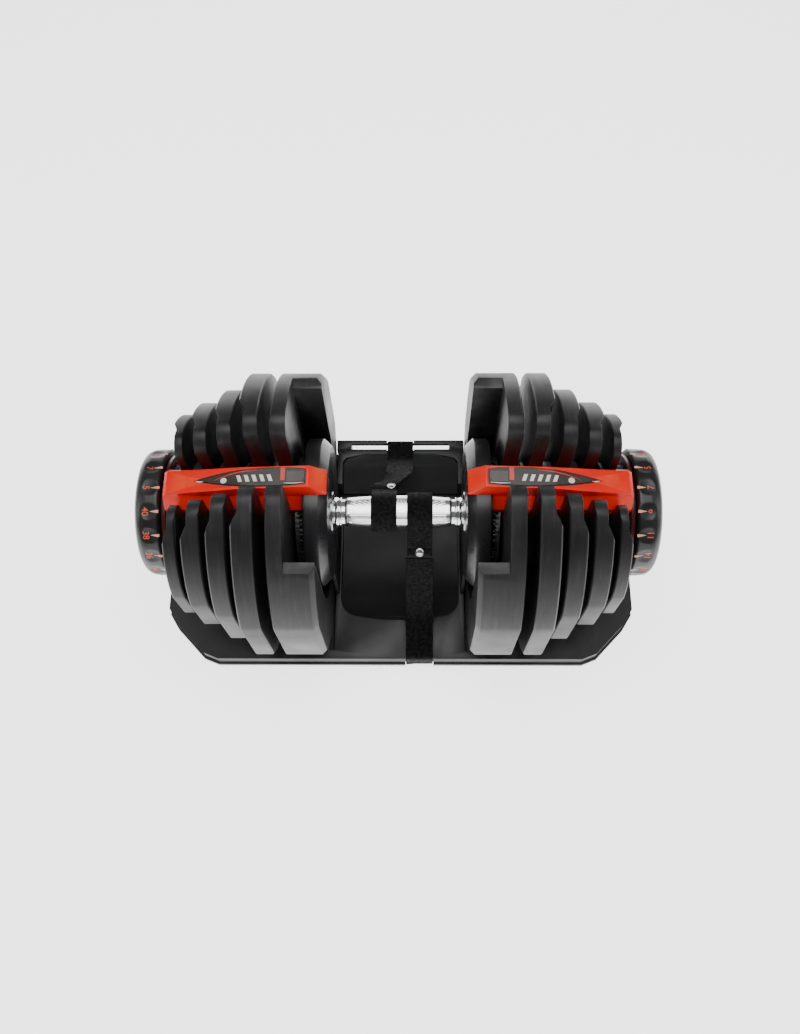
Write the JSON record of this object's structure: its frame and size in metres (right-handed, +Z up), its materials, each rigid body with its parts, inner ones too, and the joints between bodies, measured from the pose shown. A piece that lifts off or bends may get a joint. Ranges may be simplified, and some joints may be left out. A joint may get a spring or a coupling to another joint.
{
  "type": "adjustable dumbbell",
  "caption": "Adjustable dumbbell in its storage tray: slotted plates on a chrome grip, turned end dials that pick up plates, and a webbing carry strap.",
  "frame": {"origin": "on the ground under the middle of the grip", "axes": "+X along the bar to the right-hand dial, +Y towards the back rail of the tray, +Z up"},
  "size_m": [0.442, 0.23, 0.2402],
  "materials": {
    "tray_plastic": "fine moulded grain, semi-matt",
    "foot_rubber": "matt",
    "webbing": "woven nylon",
    "snap_metal": "polished",
    "plate_coating": "satin powder coat",
    "grip_chrome": "polished with knurled bands",
    "shaft_steel": "turned",
    "end_plate_black": "semi-gloss",
    "spine_red": "gloss",
    "label_print": "printed film",
    "collar_dark": "semi-gloss",
    "zinc_steel": "zinc plated",
    "disc_plastic": "moulded",
    "dial_black": "satin with printed numbers"
  },
  "bodies": {
    "tray": {"base_tray": "tray_plastic", "tray_feet": "foot_rubber", "release_posts": "tray_plastic", "strap_under": "webbing", "strap_front": "webbing", "strap_back": "webbing"},
    "plate_left_1_body": {"plate_left_1": "plate_coating"},
    "plate_left_2_body": {"plate_left_2": "plate_coating"},
    "plate_left_3_body": {"plate_left_3": "plate_coating"},
    "plate_left_4_body": {"plate_left_4": "plate_coating"},
    "plate_left_5_body": {"plate_left_5": "plate_coating"},
    "plate_right_1_body": {"plate_right_1": "plate_coating"},
    "plate_right_2_body": {"plate_right_2": "plate_coating"},
    "plate_right_3_body": {"plate_right_3": "plate_coating"},
    "plate_right_4_body": {"plate_right_4": "plate_coating"},
    "plate_right_5_body": {"plate_right_5": "plate_coating"},
    "handle": {"handle_grip": "grip_chrome", "handle_shaft": "shaft_steel", "spine_screws": "zinc_steel", "end_bolts": "zinc_steel", "strap_loop_front": "webbing", "strap_loop_back": "webbing", "strap_snaps": "snap_metal", "grip_collar_left": "grip_chrome", "grip_collar_right": "grip_chrome", "end_plate_left": "end_plate_black", "end_plate_right": "end_plate_black", "spine_left": "spine_red", "spine_right": "spine_red", "spine_label_left": "label_print", "spine_label_right": "label_print", "outer_collar_left": "collar_dark", "outer_collar_right": "collar_dark", "lock_spring_left": "zinc_steel", "lock_spring_right": "zinc_steel", "detent_ball_left": "zinc_steel", "detent_ball_right": "zinc_steel", "detent_spring_left": "zinc_steel", "detent_spring_right": "zinc_steel"},
    "selector_left": {"selector_disc_left_1": "disc_plastic", "selector_disc_left_2": "disc_plastic", "selector_disc_left_3": "disc_plastic", "selector_disc_left_4": "disc_plastic", "selector_disc_left_5": "disc_plastic", "selector_tube_left": "shaft_steel", "lock_ring_left": "zinc_steel", "dial_left": "dial_black", "dial_cap_left": "dial_black"},
    "selector_right": {"selector_disc_right_1": "disc_plastic", "selector_disc_right_2": "disc_plastic", "selector_disc_right_3": "disc_plastic", "selector_disc_right_4": "disc_plastic", "selector_disc_right_5": "disc_plastic", "selector_tube_right": "shaft_steel", "lock_ring_right": "zinc_steel", "dial_right": "dial_black", "dial_cap_right": "dial_black"},
    "lock_left": {"lock_pin_left": "zinc_steel"},
    "lock_right": {"lock_pin_right": "zinc_steel"}
  },
  "joints": [
    {"name": "plates_lift", "type": "slide", "parent": "tray", "child": "plate_left_5_body", "axis": [0, 0, 1], "range_m": [0, 0.22]},
    {"name": "plate_left_1_lift", "type": "slide", "parent": "tray", "child": "plate_left_1_body", "axis": [0, 0, 1], "range_m": [0, 0.22]},
    {"name": "plate_left_2_lift", "type": "slide", "parent": "tray", "child": "plate_left_2_body", "axis": [0, 0, 1], "range_m": [0, 0.22]},
    {"name": "plate_left_3_lift", "type": "slide", "parent": "tray", "child": "plate_left_3_body", "axis": [0, 0, 1], "range_m": [0, 0.22]},
    {"name": "plate_left_4_lift", "type": "slide", "parent": "tray", "child": "plate_left_4_body", "axis": [0, 0, 1], "range_m": [0, 0.22]},
    {"name": "plate_right_1_lift", "type": "slide", "parent": "plate_left_5_body", "child": "plate_right_1_body", "axis": [0, 0, 1], "range_m": [0, 0.22]},
    {"name": "plate_right_2_lift", "type": "slide", "parent": "tray", "child": "plate_right_2_body", "axis": [0, 0, 1], "range_m": [0, 0.22]},
    {"name": "plate_right_3_lift", "type": "slide", "parent": "tray", "child": "plate_right_3_body", "axis": [0, 0, 1], "range_m": [0, 0.22]},
    {"name": "plate_right_4_lift", "type": "slide", "parent": "tray", "child": "plate_right_4_body", "axis": [0, 0, 1], "range_m": [0, 0.22]},
    {"name": "plate_right_5_lift", "type": "slide", "parent": "tray", "child": "plate_right_5_body", "axis": [0, 0, 1], "range_m": [0, 0.22]},
    {"name": "handle_lift", "type": "slide", "parent": "plate_left_5_body", "child": "handle", "axis": [0, 0, 1], "range_m": [0, 0.22]},
    {"name": "dial_left_turn", "type": "hinge", "parent": "handle", "child": "selector_left", "pos_m": [-0.2, 0, 0.126], "axis": [-1, 0, 0], "continuous": true},
    {"name": "dial_right_turn", "type": "hinge", "parent": "handle", "child": "selector_right", "pos_m": [0.2, 0, 0.126], "axis": [1, 0, 0], "continuous": true},
    {"name": "lock_pin_left_drop", "type": "slide", "parent": "handle", "child": "lock_left", "axis": [0, 0, 1], "range_m": [-0.006, 0], "deforming": ["lock_spring_left"]},
    {"name": "lock_pin_right_drop", "type": "slide", "parent": "handle", "child": "lock_right", "axis": [0, 0, 1], "range_m": [-0.006, 0], "deforming": ["lock_spring_right"]}
  ],
  "couplings": [
    {"joint": "plate_left_1_lift", "follows": "plates_lift", "ratio": 1},
    {"joint": "plate_left_2_lift", "follows": "plates_lift", "ratio": 1},
    {"joint": "plate_left_3_lift", "follows": "plates_lift", "ratio": 1},
    {"joint": "plate_left_4_lift", "follows": "plates_lift", "ratio": 1},
    {"joint": "plate_right_1_lift", "follows": "handle_lift", "ratio": 1},
    {"joint": "plate_right_2_lift", "follows": "plates_lift", "ratio": 1},
    {"joint": "plate_right_3_lift", "follows": "plates_lift", "ratio": 1},
    {"joint": "plate_right_4_lift", "follows": "plates_lift", "ratio": 1},
    {"joint": "plate_right_5_lift", "follows": "plates_lift", "ratio": 1},
    {"joint": "lock_pin_left_drop", "follows": "handle_lift", "ratio": -0.027},
    {"joint": "lock_pin_right_drop", "follows": "handle_lift", "ratio": -0.027}
  ]
}
